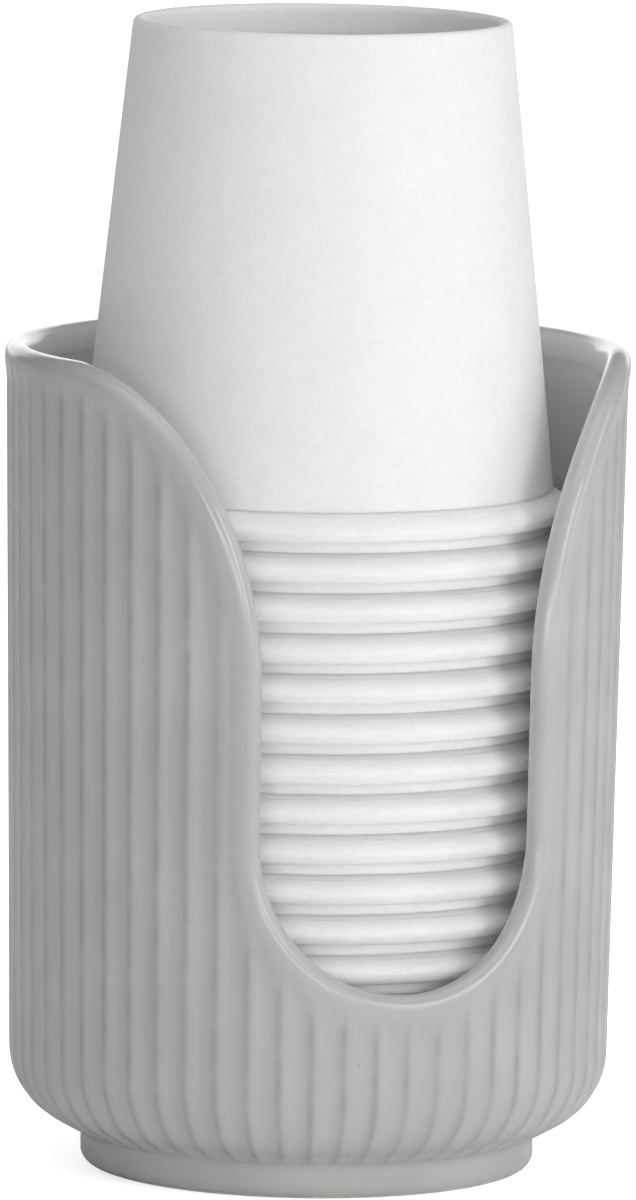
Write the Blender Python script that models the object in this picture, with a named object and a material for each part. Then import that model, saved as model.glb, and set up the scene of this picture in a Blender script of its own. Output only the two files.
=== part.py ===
"""Cup dispenser: a fluted glazed ceramic holder with a gravity-fed stack of inverted paper cups.

Units are metres and +Z is up. The origin is the centre of the face that the holder stands on,
and the holder's notch, through which the cups' rims show, faces -Y.
The holder is a single casting. Each cup is two pieces of paper: a side wall, which is rolled
outward into the rim and folded inward at the base end, and a base disc with a short skirt that
the fold grips. The cups stand on their rims, each one nested over the cup below it.
"""
from math import acos, cos, pi, radians, sin, sqrt, tan

import bmesh
import bpy
from mathutils import Vector
from mathutils.geometry import delaunay_2d_cdt

# Paper cup, measured upward from the rim it stands on
CUP_COUNT = 15
CUP_SEGMENTS = 20
CUP_HEIGHT = 0.0557
CUP_RIM_RADIUS = 0.0286
NEST_PITCH = 0.004475
NEST_WALL_GAP = 0.00017
NEST_SEAT_GAP = 0.0003
WALL_PAPER = 0.0003
BASE_PAPER = 0.0003
ROLL_HEIGHT = 0.0028
ROLL_WIDTH = 0.0019
ROLL_INNER_RISE = 0.0005
ROLL_STEPS = 4
SKIRT_GAP = 0.00015
SKIRT_CLEARANCE = 0.0004
FOLD_CLEARANCE = 0.0004

# Holder wall
HOLDER_HEIGHT = 0.0927
WALL_THICKNESS = 0.0030
WALL_FLARE = 0.0012
CUP_CLEARANCE = 0.0023
LIP_STEPS = 4

# Shoulder and foot
SHOULDER_RADIUS = 0.0091
SHOULDER_STEPS = 4
UNDERCUT_ANGLE = radians(25)
FOOT_INSET = 0.0084
FOOT_HEIGHT = 0.0038
FOOT_EDGE_RADIUS = 0.0020
FOOT_EDGE_STEPS = 3
FOOT_RING_WIDTH = 0.0050
FOOT_RECESS_DEPTH = 0.0024
FOOT_RECESS_SLOPE = 0.0015

# Inside of the bottom
FLOOR_THICKNESS = 0.0044
CORNER_REACH = 0.0120
CORNER_RISE = 0.0110
CORNER_STEPS = 4
HOLDER_SEAT_GAP = 0.0004

# Notch in the front wall, laid out flat: widths run along the outside of the wall
NOTCH_SILL_HEIGHT = 0.0240
NOTCH_HALF_WIDTH = 0.0171
NOTCH_SILL_RISE = 0.0168
NOTCH_FLARE_START = 0.0586
NOTCH_FLARE_WIDTH = 0.0262
SILL_STEPS = 8
SIDE_STEPS = 5
FLARE_STEPS = 12
RIM_STEPS = 18

# Flutes round the outside
FLUTE_COUNT = 59
FLUTE_COLUMNS = 4
FLUTE_DEPTH = 0.0004
FLUTE_MARGIN = 0.0035
FLUTE_END_LENGTH = 0.0024
FLUTE_END_SHARE = 0.6
FLUTE_FOOT_MARGIN = 0.0022

# Finishes: colour, roughness
GLAZE = ((0.60, 0.60, 0.59, 1.0), 0.25)
CUP_PAPER = ((0.90, 0.90, 0.89, 1.0), 0.75)

SMOOTH_ANGLE = radians(32)
MERGE_DISTANCE = 0.000002

# Sizes worked out from the ones above
base_radius = CUP_RIM_RADIUS + CUP_CLEARANCE + WALL_THICKNESS
foot_radius = base_radius - FOOT_INSET
lip_radius = WALL_THICKNESS / 2
shoulder_centre = base_radius - SHOULDER_RADIUS
undercut_width = shoulder_centre + SHOULDER_RADIUS * sin(UNDERCUT_ANGLE) - foot_radius
undercut_top = FOOT_HEIGHT + undercut_width * tan(UNDERCUT_ANGLE)
shoulder_top = undercut_top + SHOULDER_RADIUS * cos(UNDERCUT_ANGLE)
floor_height = FOOT_RECESS_DEPTH + FLOOR_THICKNESS
corner_top = floor_height + CORNER_RISE
back = pi * base_radius
sill_centre = NOTCH_SILL_HEIGHT + NOTCH_SILL_RISE
flare_centre = NOTCH_HALF_WIDTH + NOTCH_FLARE_WIDTH
flare_rise = HOLDER_HEIGHT - NOTCH_FLARE_START
column_count = FLUTE_COUNT * FLUTE_COLUMNS // 2
fine_columns = [back * column / column_count for column in range(column_count + 1)]
ridge_columns = list(range(0, column_count, FLUTE_COLUMNS)) + [column_count]
coarse_columns = [fine_columns[column] for column in ridge_columns]
cup_taper = (WALL_PAPER + NEST_WALL_GAP) / NEST_PITCH
recess_depth = NEST_PITCH - BASE_PAPER - NEST_SEAT_GAP


def outer_radius(height):
    """Radius of the holder's outside, which opens slightly from the shoulder to the top."""
    return base_radius + WALL_FLARE * (height - shoulder_top) / (HOLDER_HEIGHT - shoulder_top)


corner_radius = outer_radius(corner_top) - WALL_THICKNESS


def polar(radius, along, height):
    """Point on the holder; along is the distance round its outside from the notch's centre."""
    angle = along / base_radius
    if along == back:
        return Vector((0, radius, height))
    return Vector((radius * sin(angle), -radius * cos(angle), height))


def edge_line(inset):
    """Flat outline of the wall's upper edge, from the notch's sill to the back, set in by inset."""
    points = []
    for step in range(SILL_STEPS):
        angle = pi / 2 * step / SILL_STEPS
        along = (NOTCH_HALF_WIDTH + inset) * sin(angle)
        points.append((along, sill_centre - (NOTCH_SILL_RISE + inset) * cos(angle)))
    for step in range(SIDE_STEPS):
        height = sill_centre + (NOTCH_FLARE_START - sill_centre) * step / SIDE_STEPS
        points.append((NOTCH_HALF_WIDTH + inset, height))
    for step in range(FLARE_STEPS):
        angle = pi / 2 * step / FLARE_STEPS
        along = flare_centre - (NOTCH_FLARE_WIDTH - inset) * cos(angle)
        points.append((along, NOTCH_FLARE_START + (flare_rise - inset) * sin(angle)))
    for step in range(RIM_STEPS):
        along = flare_centre + (back - flare_centre) * step / RIM_STEPS
        points.append((along, HOLDER_HEIGHT - inset))
    points.append((back, HOLDER_HEIGHT - inset))
    return points


def edge_height(along, inset):
    """Height of the edge line, set in by inset, above one place along the outside."""
    half_width = NOTCH_HALF_WIDTH + inset
    if along <= half_width:
        return sill_centre - (NOTCH_SILL_RISE + inset) * sqrt(1 - (along / half_width) ** 2)
    if along < flare_centre:
        across = (flare_centre - along) / (NOTCH_FLARE_WIDTH - inset)
        return NOTCH_FLARE_START + (flare_rise - inset) * sqrt(1 - across ** 2)
    return HOLDER_HEIGHT - inset


def flute_hollow(column):
    """How hollow a column of the fluting is: 0 on a ridge, 1 along the middle of a flute."""
    across = 2 * (column % FLUTE_COLUMNS) / FLUTE_COLUMNS - 1
    return 1 - across ** 2


def flute_shoulder(flute):
    """Height at which a flute starts to run out, below the nearer edge of the wall."""
    first = flute * FLUTE_COLUMNS
    last = min(first + FLUTE_COLUMNS, column_count)
    tops = [edge_height(fine_columns[column], FLUTE_MARGIN) for column in (first, last)]
    return min(tops) - FLUTE_END_LENGTH


def fluted_column(column):
    """Heights and depths up one column of the fluting, above the shoulder."""
    hollow = flute_hollow(column)
    flute = column // FLUTE_COLUMNS
    full_top = flute_shoulder(flute)
    if hollow == 0:
        tops = {full_top}
        if column > 0:
            tops.add(flute_shoulder(flute - 1))
        return [(shoulder_top, 0)] + [(top, 0) for top in sorted(tops)]
    end = sqrt(hollow)
    run_out = end * FLUTE_END_SHARE
    return [
        (shoulder_top, FLUTE_DEPTH * hollow),
        (full_top, FLUTE_DEPTH * hollow),
        (full_top + FLUTE_END_LENGTH * run_out, FLUTE_DEPTH * (hollow - run_out ** 2)),
        (full_top + FLUTE_END_LENGTH * end, 0),
    ]


def add_band(bm, before, after):
    """Strip of faces between two rows, in order up the inside, over the lip and down the outside."""
    for index in range(len(before) - 1):
        bm.faces.new((after[index], after[index + 1], before[index + 1], before[index]))


def add_row(bm, columns, radii, height):
    """Row of points across half of the holder at one height."""
    return [bm.verts.new(polar(radius, along, height)) for along, radius in zip(columns, radii)]


def add_skin(bm, columns, depth, inside):
    """Triangulated wall surface between the columns and the edge line, laid out flat and rolled up.

    columns holds, for each place along the wall, the heights and depths of its points.
    """
    points = []
    edges = []
    feet = []
    for along, heights in columns:
        first = len(points)
        feet.append(first)
        points += [(along, height, depth + dip) for height, dip in heights]
        edges += [(index, index + 1) for index in range(first, len(points) - 1)]
    edges += list(zip(feet, feet[1:]))
    last_top = len(points) - 1
    first_top = feet[1] - 1
    rim = len(points)
    points += [(along, height, depth) for along, height in edge_line(lip_radius)]
    edges += [(index, index + 1) for index in range(rim, len(points) - 1)]
    edges += [(first_top, rim), (last_top, len(points) - 1)]
    flat = [Vector((along, height)) for along, height, dip in points]
    result = delaunay_2d_cdt(flat, edges, [], 1, MERGE_DISTANCE)
    sources = [origins[0] for origins in result[3]]
    verts = []
    for source in sources:
        along, height, dip = points[source]
        verts.append(bm.verts.new(polar(outer_radius(height) - dip, along, height)))
    for triangle in result[2]:
        corners = [verts[index] for index in triangle]
        bm.faces.new(reversed(corners) if inside else corners)


def add_lip(bm):
    """Full round lip that joins the inside of the wall to the outside, all along the edge."""
    rows = []
    for step in range(LIP_STEPS + 1):
        angle = pi - pi * step / LIP_STEPS
        depth = lip_radius * (1 - cos(angle))
        row = []
        for along, height in edge_line(lip_radius * (1 - sin(angle))):
            row.append(bm.verts.new(polar(outer_radius(height) - depth, along, height)))
        rows.append(row)
    for before, after in zip(rows, rows[1:]):
        add_band(bm, before, after)


def add_inner_bottom(bm):
    """Floor inside the holder and the bowl-shaped corner that the lowest cup's rim rests on."""
    before = None
    for step in range(CORNER_STEPS + 1):
        angle = pi / 2 * step / CORNER_STEPS
        radius = corner_radius - CORNER_REACH * (1 - sin(angle))
        height = corner_top - CORNER_RISE * cos(angle)
        row = add_row(bm, coarse_columns, [radius] * len(coarse_columns), height)
        if before:
            add_band(bm, before, row)
        else:
            bm.faces.new(row)
        before = row


def add_shoulder(bm):
    """Rounded shoulder under the fluted wall; the flutes run round it and die out near the foot."""
    profile = []
    for step in range(SHOULDER_STEPS + 1):
        angle = pi / 2 - (pi / 2 - UNDERCUT_ANGLE) * step / SHOULDER_STEPS
        radius = shoulder_centre + SHOULDER_RADIUS * sin(angle)
        profile.append((radius, shoulder_top - SHOULDER_RADIUS * cos(angle), FLUTE_DEPTH))
    end_radius = foot_radius + FLUTE_FOOT_MARGIN * cos(UNDERCUT_ANGLE)
    profile.append((end_radius, FOOT_HEIGHT + FLUTE_FOOT_MARGIN * sin(UNDERCUT_ANGLE), 0))
    before = None
    for radius, height, depth in profile:
        radii = [radius - depth * flute_hollow(column) for column in range(column_count + 1)]
        row = add_row(bm, fine_columns, radii, height)
        if before:
            add_band(bm, before, row)
        before = row
    return before


def add_foot(bm, fine_row):
    """Foot ring with a rounded edge and a shallow recess underneath."""
    edge_centre = foot_radius - FOOT_EDGE_RADIUS
    ring_inner = foot_radius - FOOT_RING_WIDTH
    profile = [(foot_radius, FOOT_HEIGHT)]
    for step in range(FOOT_EDGE_STEPS + 1):
        angle = pi / 2 * step / FOOT_EDGE_STEPS
        radius = edge_centre + FOOT_EDGE_RADIUS * cos(angle)
        profile.append((radius, FOOT_EDGE_RADIUS * (1 - sin(angle))))
    profile.append((ring_inner, 0))
    profile.append((ring_inner - FOOT_RECESS_SLOPE, FOOT_RECESS_DEPTH))
    rows = [add_row(bm, coarse_columns, [radius] * len(coarse_columns), height) for radius, height in profile]
    add_gather(bm, fine_row, rows[0])
    for before, after in zip(rows, rows[1:]):
        add_band(bm, before, after)
    bm.faces.new(reversed(rows[-1]))


def add_gather(bm, fine_row, coarse_row):
    """Triangles that gather the fine columns of the fluting into the ridge columns of the foot."""
    for cell in range(len(coarse_row) - 1):
        start = ridge_columns[cell]
        end = ridge_columns[cell + 1]
        middle = (start + end) // 2
        left = coarse_row[cell]
        right = coarse_row[cell + 1]
        for index in range(start, middle):
            bm.faces.new((left, fine_row[index + 1], fine_row[index]))
        bm.faces.new((left, right, fine_row[middle]))
        for index in range(middle, end):
            bm.faces.new((right, fine_row[index + 1], fine_row[index]))


def new_material(name, finish):
    """Plain shader with one colour and roughness."""
    colour, roughness = finish
    material = bpy.data.materials.new(name)
    material.use_nodes = True
    shader = material.node_tree.nodes["Principled BSDF"]
    shader.inputs["Base Color"].default_value = colour
    shader.inputs["Roughness"].default_value = roughness
    shader.inputs["Metallic"].default_value = 0
    return material


def finish_mesh(bm, name, material):
    """Mesh data from a bmesh, smooth on its round faces and sharp at its edges."""
    mesh = bpy.data.meshes.new(name)
    bm.to_mesh(mesh)
    bm.free()
    mesh.materials.append(material)
    mesh.shade_smooth()
    mesh.set_sharp_from_angle(angle=SMOOTH_ANGLE)
    return mesh


def new_object(name, data, parent=None, lift=0):
    """Object in the scene, lifted above its parent."""
    thing = bpy.data.objects.new(name, data)
    thing.parent = parent
    thing.location = (0, 0, lift)
    bpy.context.scene.collection.objects.link(thing)
    return thing


def make_holder():
    """The ceramic casting: its right half is modelled and mirrored across the notch's centre line."""
    bm = bmesh.new()
    add_inner_bottom(bm)
    inner_columns = []
    for along in coarse_columns:
        inner_columns.append((along, [(corner_top, 0), (edge_height(along, FLUTE_MARGIN), 0)]))
    add_skin(bm, inner_columns, WALL_THICKNESS, True)
    add_lip(bm)
    outer_columns = []
    for column, along in enumerate(fine_columns):
        outer_columns.append((along, fluted_column(column)))
    add_skin(bm, outer_columns, 0, False)
    add_foot(bm, add_shoulder(bm))
    bmesh.ops.remove_doubles(bm, verts=bm.verts, dist=MERGE_DISTANCE)
    mesh = finish_mesh(bm, "holder", new_material("light_grey_glaze", GLAZE))
    holder = new_object("holder", mesh)
    mirror = holder.modifiers.new("both_halves", "MIRROR")
    mirror.use_axis[0] = True
    mirror.merge_threshold = MERGE_DISTANCE
    return holder


def add_ring(bm, radius, height):
    """Ring of points round the cup's axis."""
    ring = []
    for segment in range(CUP_SEGMENTS):
        angle = 2 * pi * segment / CUP_SEGMENTS
        ring.append(bm.verts.new((radius * sin(angle), -radius * cos(angle), height)))
    return ring


def add_turned(bm, profile, closed):
    """Turned surface through the profile's points; an open profile is closed with two discs."""
    rings = [add_ring(bm, radius, height) for radius, height in profile]
    pairs = list(zip(rings, rings[1:]))
    if closed:
        pairs.append((rings[-1], rings[0]))
    else:
        bm.faces.new(rings[0])
        bm.faces.new(reversed(rings[-1]))
    for before, after in pairs:
        add_band(bm, before + before[:1], after + after[:1])


def cup_radius(height, layer=0):
    """Radius of a cup's tapered wall at one height, a layer's depth in from its outside."""
    return CUP_RIM_RADIUS - ROLL_WIDTH - cup_taper * (height - ROLL_HEIGHT) - layer


def roll_points():
    """Outside of the rolled rim, from its top round to the bottom that the cup stands on."""
    half_width = (ROLL_WIDTH + WALL_PAPER) / 2
    centre = CUP_RIM_RADIUS - half_width
    points = []
    for step in range(ROLL_STEPS + 1):
        angle = pi / 2 - pi * step / ROLL_STEPS
        points.append((centre + half_width * cos(angle), ROLL_HEIGHT / 2 * (1 + sin(angle))))
    return points


def cup_wall_profile():
    """Section of a cup's side wall: up the inside, round the fold at the base end, down the outside."""
    fold_bottom = CUP_HEIGHT - recess_depth + FOLD_CLEARANCE
    slot_top = CUP_HEIGHT - WALL_PAPER
    fold_outer = WALL_PAPER + 2 * SKIRT_GAP + BASE_PAPER
    fold_inner = fold_outer + WALL_PAPER
    profile = [
        (cup_radius(ROLL_INNER_RISE, WALL_PAPER), ROLL_INNER_RISE),
        (cup_radius(slot_top, WALL_PAPER), slot_top),
        (cup_radius(slot_top, fold_outer), slot_top),
        (cup_radius(fold_bottom, fold_outer), fold_bottom),
        (cup_radius(fold_bottom, fold_inner), fold_bottom),
        (cup_radius(CUP_HEIGHT, fold_inner), CUP_HEIGHT),
        (cup_radius(CUP_HEIGHT), CUP_HEIGHT),
        (cup_radius(ROLL_HEIGHT), ROLL_HEIGHT),
    ]
    return profile + roll_points()


def cup_base_profile():
    """Section of a cup's base: a disc with a skirt turned up into the fold of the side wall."""
    disc_top = CUP_HEIGHT - recess_depth
    disc_bottom = disc_top - BASE_PAPER
    skirt_top = CUP_HEIGHT - WALL_PAPER - SKIRT_CLEARANCE
    skirt_outer = WALL_PAPER + SKIRT_GAP
    skirt_inner = skirt_outer + BASE_PAPER
    return [
        (cup_radius(disc_top, skirt_inner), disc_top),
        (cup_radius(skirt_top, skirt_inner), skirt_top),
        (cup_radius(skirt_top, skirt_outer), skirt_top),
        (cup_radius(disc_bottom, skirt_outer), disc_bottom),
    ]


def lowest_rim_height():
    """Height at which the lowest cup's rolled rim just clears the holder's rounded corner."""
    heights = [floor_height]
    corner_centre = corner_radius - CORNER_REACH
    for radius, height in roll_points():
        reach = max(radius - corner_centre, 0) / CORNER_REACH
        surface = corner_top - CORNER_RISE * sin(acos(min(reach, 1)))
        heights.append(surface - height)
    return max(heights) + HOLDER_SEAT_GAP


def make_cups(holder):
    """Stack of identical cups; each one's frame sits on the frame of the cup below it."""
    paper = new_material("white_paper", CUP_PAPER)
    wall = bmesh.new()
    add_turned(wall, cup_wall_profile(), True)
    wall_mesh = finish_mesh(wall, "cup_wall", paper)
    base = bmesh.new()
    add_turned(base, cup_base_profile(), False)
    base_mesh = finish_mesh(base, "cup_base", paper)
    below = holder
    lift = lowest_rim_height()
    for number in range(1, CUP_COUNT + 1):
        frame = new_object(f"cup_{number:02d}_frame", None, below, lift)
        new_object(f"cup_{number:02d}_wall", wall_mesh, frame)
        new_object(f"cup_{number:02d}_base", base_mesh, frame)
        below = frame
        lift = NEST_PITCH


def main():
    for thing in list(bpy.data.objects):
        bpy.data.objects.remove(thing)
    make_cups(make_holder())


main()
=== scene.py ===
# %% [markdown]
# # A fluted cup dispenser, dressed for its portrait
#
# The object is a glazed ceramic holder with a tall notch in its front, and fifteen paper cups that stand
# upside down in it, nested one over the other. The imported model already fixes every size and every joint.
# This lesson gives each piece its finished surface: fine geometry first, then a material made of nodes,
# because light only looks right on a shape that is right. Lengths are in metres and +Z is up.

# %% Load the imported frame
from math import ceil, cos, pi, radians, sin, sqrt

import bmesh
import bpy
import numpy as np
from mathutils import Matrix, Vector
from mathutils.geometry import delaunay_2d_cdt


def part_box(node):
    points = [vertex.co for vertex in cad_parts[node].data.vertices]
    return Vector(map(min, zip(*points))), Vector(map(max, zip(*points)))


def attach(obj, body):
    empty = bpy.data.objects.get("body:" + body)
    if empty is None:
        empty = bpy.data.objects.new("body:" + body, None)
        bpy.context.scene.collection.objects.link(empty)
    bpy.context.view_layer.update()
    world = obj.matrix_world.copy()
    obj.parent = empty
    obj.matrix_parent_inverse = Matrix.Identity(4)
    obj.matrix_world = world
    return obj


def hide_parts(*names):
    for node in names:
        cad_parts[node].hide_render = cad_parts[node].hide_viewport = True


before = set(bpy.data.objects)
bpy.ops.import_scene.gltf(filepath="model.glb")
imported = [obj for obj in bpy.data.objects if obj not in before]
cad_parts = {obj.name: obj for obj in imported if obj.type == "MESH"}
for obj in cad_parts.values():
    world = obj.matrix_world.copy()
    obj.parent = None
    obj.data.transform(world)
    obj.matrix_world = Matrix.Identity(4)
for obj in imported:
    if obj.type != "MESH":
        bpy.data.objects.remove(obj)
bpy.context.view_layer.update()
cup_names = sorted(name[:-len("_wall")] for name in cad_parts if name.endswith("_wall"))
rim_heights = [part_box(name + "_wall")[0].z for name in cup_names]
lowest_cup_low, lowest_cup_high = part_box(cup_names[0] + "_wall")
CUP_HEIGHT = lowest_cup_high.z - lowest_cup_low.z
CUP_RIM_RADIUS = lowest_cup_high.x
NEST_PITCH = rim_heights[1] - rim_heights[0]
HOLDER_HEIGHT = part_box("holder")[1].z
print("cups:", len(cup_names), "nested every", round(NEST_PITCH * 1000, 3), "mm")
print("one cup:", round(CUP_HEIGHT * 1000, 2), "mm high")
print("its rim:", round(CUP_RIM_RADIUS * 2000, 2), "mm across")

# %% [markdown]
# ## The camera
#
# A portrait of a small product is taken from far away through a long lens, so that the round shapes hardly
# distort. The camera stands a little to the left of the notch and looks slightly down. Its place comes from
# fitting the edges of the object; turning one matrix after another keeps each angle readable.

# %% Place the camera
CAMERA_AZIMUTH = radians(-19.0)
CAMERA_DISTANCE = 1.4404
CAMERA_HEIGHT = 0.2502
CAMERA_PITCH = radians(7.373)
CAMERA_YAW = radians(0.016)
CAMERA_ROLL = radians(0.848)
LENS_LENGTH = 388.5
SENSOR_LENGTH = 36
QUARTER_TURN = pi / 2

camera_data = bpy.data.cameras.new("portrait_camera")
camera_data.sensor_width = SENSOR_LENGTH
camera_data.lens = LENS_LENGTH
camera = bpy.data.objects.new("portrait_camera", camera_data)
bpy.context.scene.collection.objects.link(camera)
camera.matrix_world = (
    Matrix.Rotation(CAMERA_AZIMUTH, 4, "Z")
    @ Matrix.Translation((0, -CAMERA_DISTANCE, CAMERA_HEIGHT))
    @ Matrix.Rotation(-CAMERA_YAW, 4, "Z")
    @ Matrix.Rotation(QUARTER_TURN - CAMERA_PITCH, 4, "X")
    @ Matrix.Rotation(CAMERA_ROLL, 4, "Z")
)
bpy.context.scene.camera = camera
print("camera at", [round(value, 3) for value in camera.location])

# %% [markdown]
# ## Light
#
# The object stands in soft light. One broad softbox at the right, a little above the object, models the
# round shapes, and a narrow strip beside it marks the lip of the notch. A low bank straight in front opens
# the creases between the rims, a weak one fills the left side, and a bank overhead lights the tops. A white
# screen far behind gives the flat rims something pale to mirror. The lights hide from the camera but not
# from reflections, the world only fills the shadows, and the Standard view shows white as white.

# %% Studio light
AIM = Vector((0, 0, 0.065))  # the middle of the object, where every light points
WORLD_TONE = (1.0, 1.0, 1.0, 1.0)
WORLD_STRENGTH = 0.18


def add_softbox(name, bearing, elevation, distance, width, height, power):
    """Rectangular light that faces the object; bearing is counted to the right of the camera."""
    turn = CAMERA_AZIMUTH + radians(bearing)
    rise = radians(elevation)
    way = Vector((sin(turn) * cos(rise), -cos(turn) * cos(rise), sin(rise)))
    light = bpy.data.lights.new(name, "AREA")
    light.shape = "RECTANGLE"
    light.size = width
    light.size_y = height
    light.energy = power
    lamp = bpy.data.objects.new(name, light)
    lamp.location = AIM + way * distance
    lamp.rotation_euler = way.to_track_quat("Z", "Y").to_euler()
    lamp.visible_camera = False
    bpy.context.scene.collection.objects.link(lamp)
    return lamp


# bearing and elevation in degrees, then distance, width and height in metres, then power in watts
lamps = [
    add_softbox("key_softbox", 46, 14, 0.90, 0.42, 0.46, 2.9),
    add_softbox("side_strip", 96, 10, 0.80, 0.10, 0.60, 1.2),
    add_softbox("front_bank", 0, 4, 1.20, 1.00, 0.20, 4.1),
    add_softbox("left_fill", -80, 35, 1.20, 0.90, 0.90, 0.7),
    add_softbox("top_bank", 0, 70, 1.00, 0.80, 0.80, 3.6),
    add_softbox("back_screen", 180, 12, 2.50, 3.00, 1.00, 16),
]
world = bpy.data.worlds.new("studio_room")
world.use_nodes = True
background = world.node_tree.nodes["Background"]
background.inputs["Color"].default_value = WORLD_TONE
background.inputs["Strength"].default_value = WORLD_STRENGTH
bpy.context.scene.world = world
bpy.context.scene.view_settings.view_transform = "Standard"
print("lights:", [lamp.name for lamp in lamps])

# %% [markdown]
# ## Helpers for node materials
#
# Every finish below is a Principled shader fed by noise in the object's own coordinates. Two helpers keep
# the cells short: one starts a material, and one adds any node with its inputs in a single call.

# %% Material helpers
def start_material(name, roughness, **constants):
    """Material with a Principled shader; numbers that are the same all over are set on its own sockets."""
    material = bpy.data.materials.new(name)
    material.use_nodes = True
    tree = material.node_tree
    shader = tree.nodes["Principled BSDF"]
    shader.inputs["Roughness"].default_value = roughness
    for socket, value in constants.items():
        shader.inputs[socket.replace("_", " ")].default_value = value
    return material, tree, shader


def add_node(tree, kind, settings=(), **sockets):
    """Node of one kind; a socket, by its name or as i and its number, gets a value or a link to an output."""
    node = tree.nodes.new(kind)
    for attribute, value in dict(settings).items():
        setattr(node, attribute, value)
    for name, value in sockets.items():
        socket = node.inputs[int(name[1:])] if name[1:].isdigit() else node.inputs[name.replace("_", " ")]
        if isinstance(value, bpy.types.NodeSocket):
            tree.links.new(value, socket)
        else:
            socket.default_value = value
    return node


print("material helpers ready")

# %% [markdown]
# ## From noise to tone and relief
#
# A range stretches the part of a noise that matters, a mix turns it into a colour between two, and a bump
# turns it into relief. Bumps are chained, each on the normal of the one before, so that coarse and fine
# relief add up.

# %% Noise, range, mix and bump
NOISE_SPAN = (0.3, 0.7)  # most of a noise's values lie in here


def add_math(tree, operation, *values):
    """Math node; its inputs are given in order."""
    sockets = {f"i{index}": value for index, value in enumerate(values)}
    return add_node(tree, "ShaderNodeMath", {"operation": operation}, **sockets).outputs[0]


def add_noise(tree, place, scale, detail=2.0, roughness=0.5):
    """Noise between about 0 and 1, with scale in features per metre."""
    node = add_node(tree, "ShaderNodeTexNoise", Vector=place, Scale=scale, Detail=detail, Roughness=roughness)
    return node.outputs["Fac"]


def add_range(tree, value, low, high, new_low, new_high):
    """Value moved from one range to another, with a soft start and stop."""
    settings = {"interpolation_type": "SMOOTHSTEP"}
    sockets = {"Value": value, "From_Min": low, "From_Max": high, "To_Min": new_low, "To_Max": new_high}
    return add_node(tree, "ShaderNodeMapRange", settings, **sockets).outputs["Result"]


def add_mix(tree, factor, first, second):
    """Colour between two colours."""
    mix = add_node(tree, "ShaderNodeMix", {"data_type": "RGBA"}, i0=factor, i6=first, i7=second)
    return mix.outputs[2]


def add_bump(tree, shader, layers):
    """Chain of bumps on the shader's normal; each layer is a height output and its depth in metres."""
    normal = None
    for height, depth in layers:
        node = add_node(tree, "ShaderNodeBump", Height=height, Strength=1.0, Distance=depth)
        if normal is not None:
            tree.links.new(normal, node.inputs["Normal"])
        normal = node.outputs["Normal"]
    tree.links.new(normal, shader.inputs["Normal"])


print("noise is stretched from", NOISE_SPAN)

# %% [markdown]
# ## A floor that stays white
#
# A real studio lays a sweep of white paper under the object and lights it by itself. The floor here is a
# wide disc of matt white with a lamp of its own. That lamp is linked to the floor alone and allowed no
# bounce, so the floor is white from every side and the light on the object stays as it is.

# %% Pale floor
FLOOR_RADIUS = 30.0
FLOOR_DROP = 0.00005
FLOOR_SIDES = 96
FLOOR_TONE = ((0.90, 0.90, 0.90, 1), (0.93, 0.93, 0.93, 1))
FLOOR_CLOUD_SCALE = 3
FLOOR_ROUGHNESS = 0.9
FLOOR_LIGHT_STRENGTH = 2.4

floor_mesh = bpy.data.meshes.new("pale_floor")
bm = bmesh.new()
bmesh.ops.create_circle(bm, cap_ends=True, radius=FLOOR_RADIUS, segments=FLOOR_SIDES)
bm.to_mesh(floor_mesh)
bm.free()
floor = bpy.data.objects.new("pale_floor", floor_mesh)
floor.location = (0, 0, -FLOOR_DROP)
bpy.context.scene.collection.objects.link(floor)
floor_paint, tree, shader = start_material("pale_matt_floor", FLOOR_ROUGHNESS)
place = add_node(tree, "ShaderNodeTexCoord").outputs["Object"]
cloud = add_noise(tree, place, FLOOR_CLOUD_SCALE)
tree.links.new(add_mix(tree, cloud, *FLOOR_TONE), shader.inputs["Base Color"])
floor_mesh.materials.append(floor_paint)
floor_only = bpy.data.collections.new("floor_only")
floor_only.objects.link(floor)
floor_light = bpy.data.lights.new("floor_light", "SUN")
floor_light.energy = FLOOR_LIGHT_STRENGTH
floor_light.cycles.max_bounces = 0
floor_lamp = bpy.data.objects.new("floor_light", floor_light)
floor_lamp.light_linking.receiver_collection = floor_only
floor_lamp.light_linking.blocker_collection = floor_only
bpy.context.scene.collection.objects.link(floor_lamp)
print("floor radius", FLOOR_RADIUS, "m, with a lamp of its own")

# %% [markdown]
# ## The holder's shape
#
# On the real object the holder is one slip-cast piece: a fluted wall with a round lip, a shoulder that
# curves in to a foot ring, and a bowl-shaped inside. It could be sculpted, or cut from a tube with booleans.
# Here the wall is laid out flat instead, like a label, because both the notch and the flutes are simple
# there. Distances from the edge are measured on the flat sheet, and then the sheet is rolled up. The sizes
# repeat the solid model's, so that the surface lies on it.

# %% Holder sizes
WALL_THICKNESS = 0.0030
WALL_FLARE = 0.0012
CUP_CLEARANCE = 0.0023
SHOULDER_RADIUS = 0.0091
UNDERCUT_ANGLE = radians(25)
FOOT_INSET = 0.0084
FOOT_HEIGHT = 0.0038
NOTCH_SILL_HEIGHT = 0.0240
NOTCH_HALF_WIDTH = 0.0171
NOTCH_SILL_RISE = 0.0168
NOTCH_FLARE_START = 0.0586
NOTCH_FLARE_WIDTH = 0.0262
SILL_STEPS, SIDE_STEPS, FLARE_STEPS, RIM_STEPS = 60, 34, 96, 120

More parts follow.
